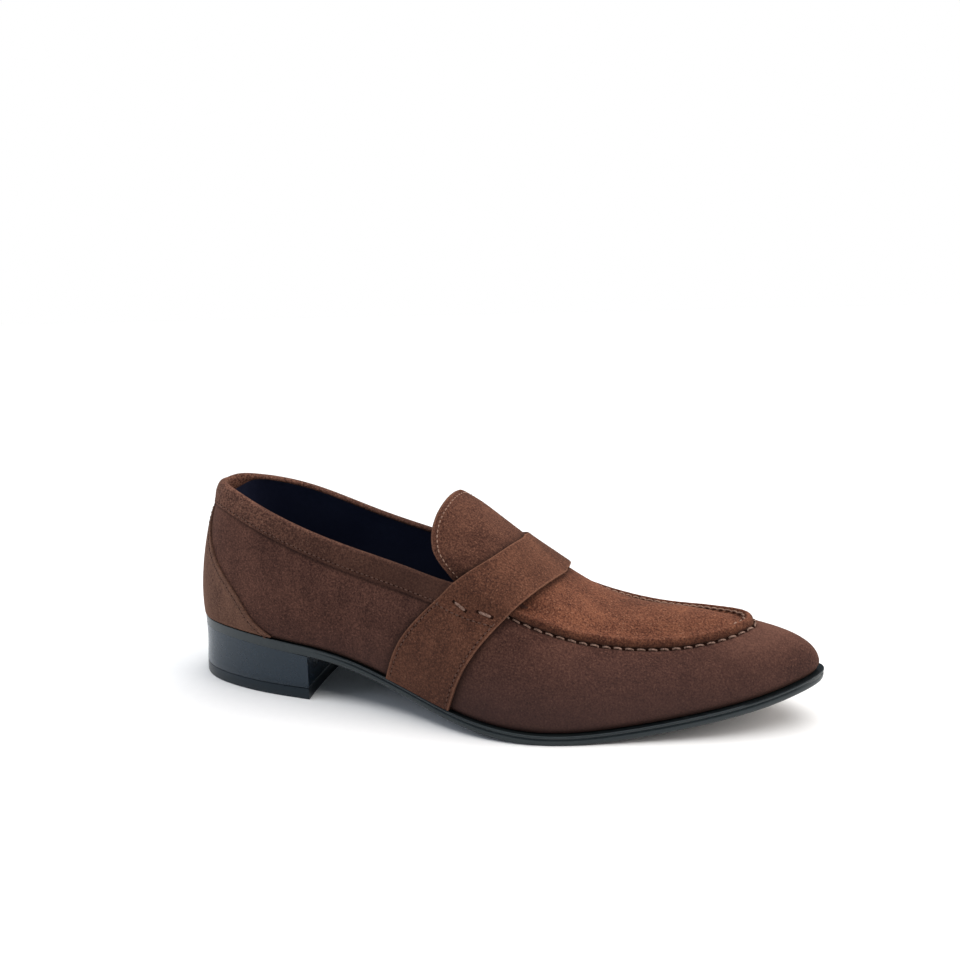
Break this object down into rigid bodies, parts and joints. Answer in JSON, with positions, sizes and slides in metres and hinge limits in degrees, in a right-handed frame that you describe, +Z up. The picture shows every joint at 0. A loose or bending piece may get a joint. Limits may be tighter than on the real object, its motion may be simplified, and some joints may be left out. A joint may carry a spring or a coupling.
{
  "type": "suede strap loafer",
  "caption": "Slip-on suede loafer for the right foot: moccasin apron with raised seam, instep strap, rounded tongue, bound collar and low block heel.",
  "frame": {"origin": "on the floor, under the middle of the shoe's box", "axes": "+X from heel to toe, +Y to the inner (medial) side, +Z up from the floor"},
  "size_m": [0.3026, 0.097, 0.0994],
  "materials": {
    "sole_leather": "black dyed and polished sole edge",
    "heel_leather": "black dyed and polished heel block",
    "heel_rubber": "matt black wearing layer",
    "suede": "brown suede with a short nap",
    "suede_apron": "brown suede with a short nap",
    "suede_tongue": "brown suede with a short nap",
    "suede_strap": "brown suede with a short nap",
    "suede_binding": "brown suede with a short nap",
    "suede_counter": "brown suede with a short nap",
    "lining": "smooth near-black lining leather"
  },
  "bodies": {
    "root": {"outsole": "sole_leather", "heel_stack": "heel_leather", "top_piece": "heel_rubber", "upper": "suede", "apron": "suede_apron", "tongue": "suede_tongue", "strap": "suede_strap", "collar_binding": "suede_binding", "counter": "suede_counter", "insole": "lining"}
  },
  "joints": []
}
